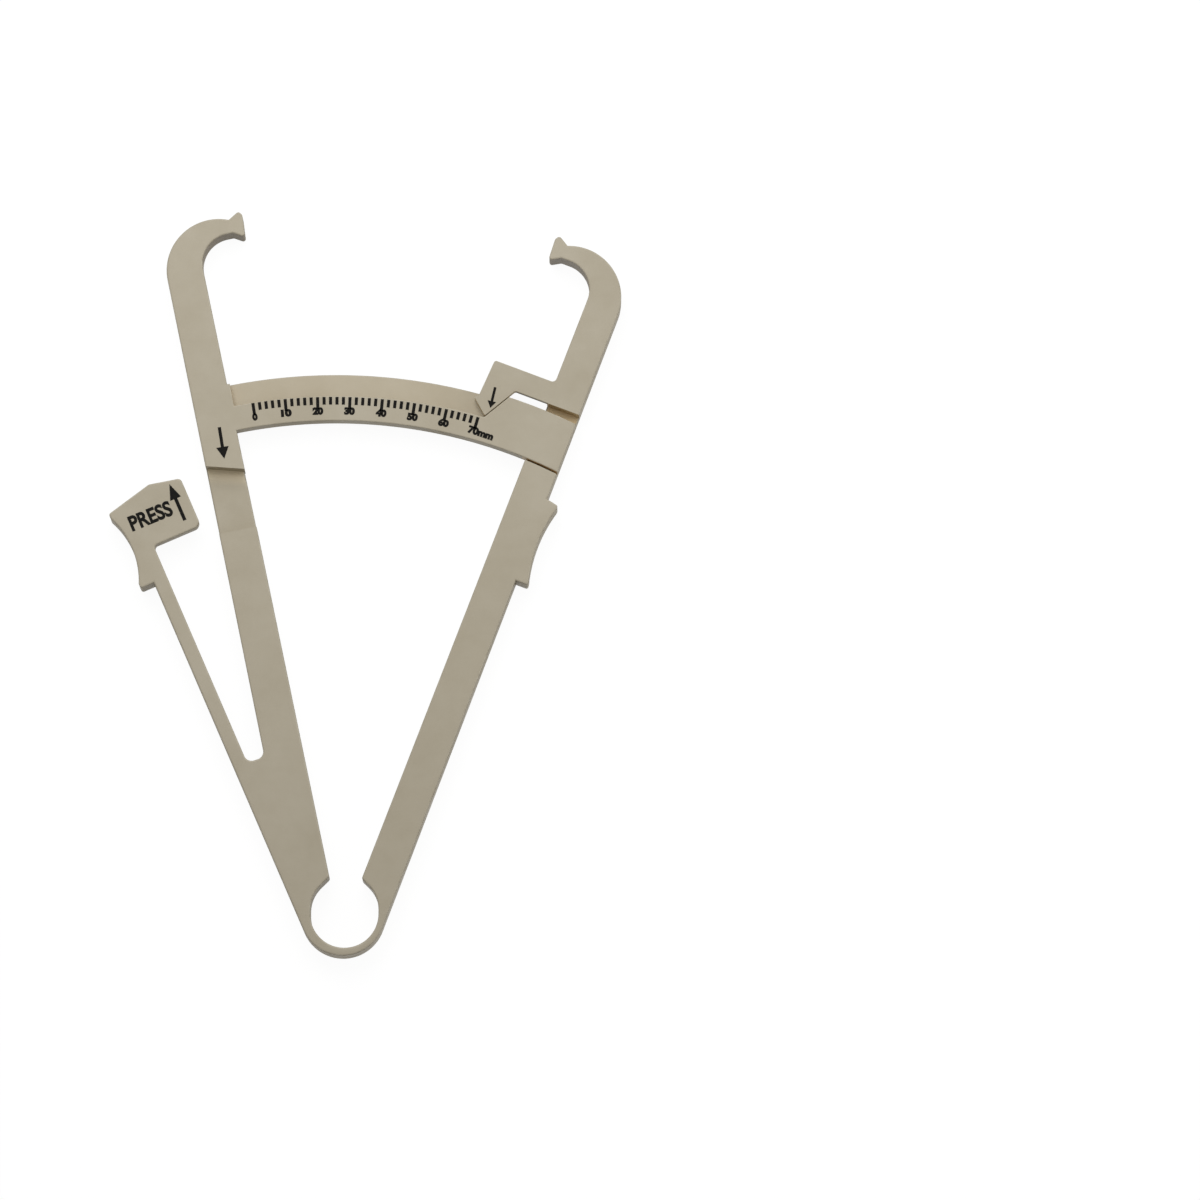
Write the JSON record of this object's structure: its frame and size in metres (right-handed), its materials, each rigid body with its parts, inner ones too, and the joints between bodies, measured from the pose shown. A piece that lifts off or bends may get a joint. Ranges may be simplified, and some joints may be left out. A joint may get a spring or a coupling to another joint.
{
  "type": "skinfold caliper",
  "caption": "Flat moulded skinfold caliper: hooked jaws on a ring spring, an arc scale with a sliding pointer, and a sprung thumb lever whose tab lines up with an arrow at the right pressure.",
  "frame": {"origin": "under the middle of the caliper's outline, on the flat back that it lies on", "axes": "+Y runs from the ring spring to the jaws, +X to the right as the scale is read, +Z out of the printed face"},
  "size_m": [0.1178, 0.1728, 0.0075],
  "materials": {
    "ivory_plastic": "fine matt moulded surface"
  },
  "bodies": {
    "fixed_arm": {"fixed_arm_lower": "ivory_plastic", "lever_web": "ivory_plastic", "press_seat": "ivory_plastic", "fixed_arm_upper": "ivory_plastic", "fixed_jaw": "ivory_plastic", "fixed_jaw_pad": "ivory_plastic", "scale_bar": "ivory_plastic", "scale_end_stop": "ivory_plastic", "ring_spring": "ivory_plastic"},
    "moving_arm": {"moving_arm_lower": "ivory_plastic", "finger_rest": "ivory_plastic", "bar_guide": "ivory_plastic", "moving_arm_upper": "ivory_plastic", "moving_jaw": "ivory_plastic", "moving_jaw_pad": "ivory_plastic", "pointer_bracket": "ivory_plastic", "pointer_plate": "ivory_plastic"},
    "press_lever": {"lever_blade": "ivory_plastic", "thumb_rest": "ivory_plastic", "press_tab": "ivory_plastic"}
  },
  "joints": [
    {"name": "jaw_close", "type": "hinge", "parent": "fixed_arm", "child": "moving_arm", "pos_m": [-0.00684, -0.07672, 0], "axis": [0, 0, 1], "range_deg": [0, 25.46], "stiffness_Nm_per_rad": 0.3, "deforming": ["ring_spring"]},
    {"name": "lever_press", "type": "hinge", "parent": "fixed_arm", "child": "press_lever", "pos_m": [-0.03358, -0.03054, 0], "axis": [0, 0, 1], "range_deg": [-14.4, 0], "stiffness_Nm_per_rad": 2, "deforming": ["lever_blade"]}
  ]
}
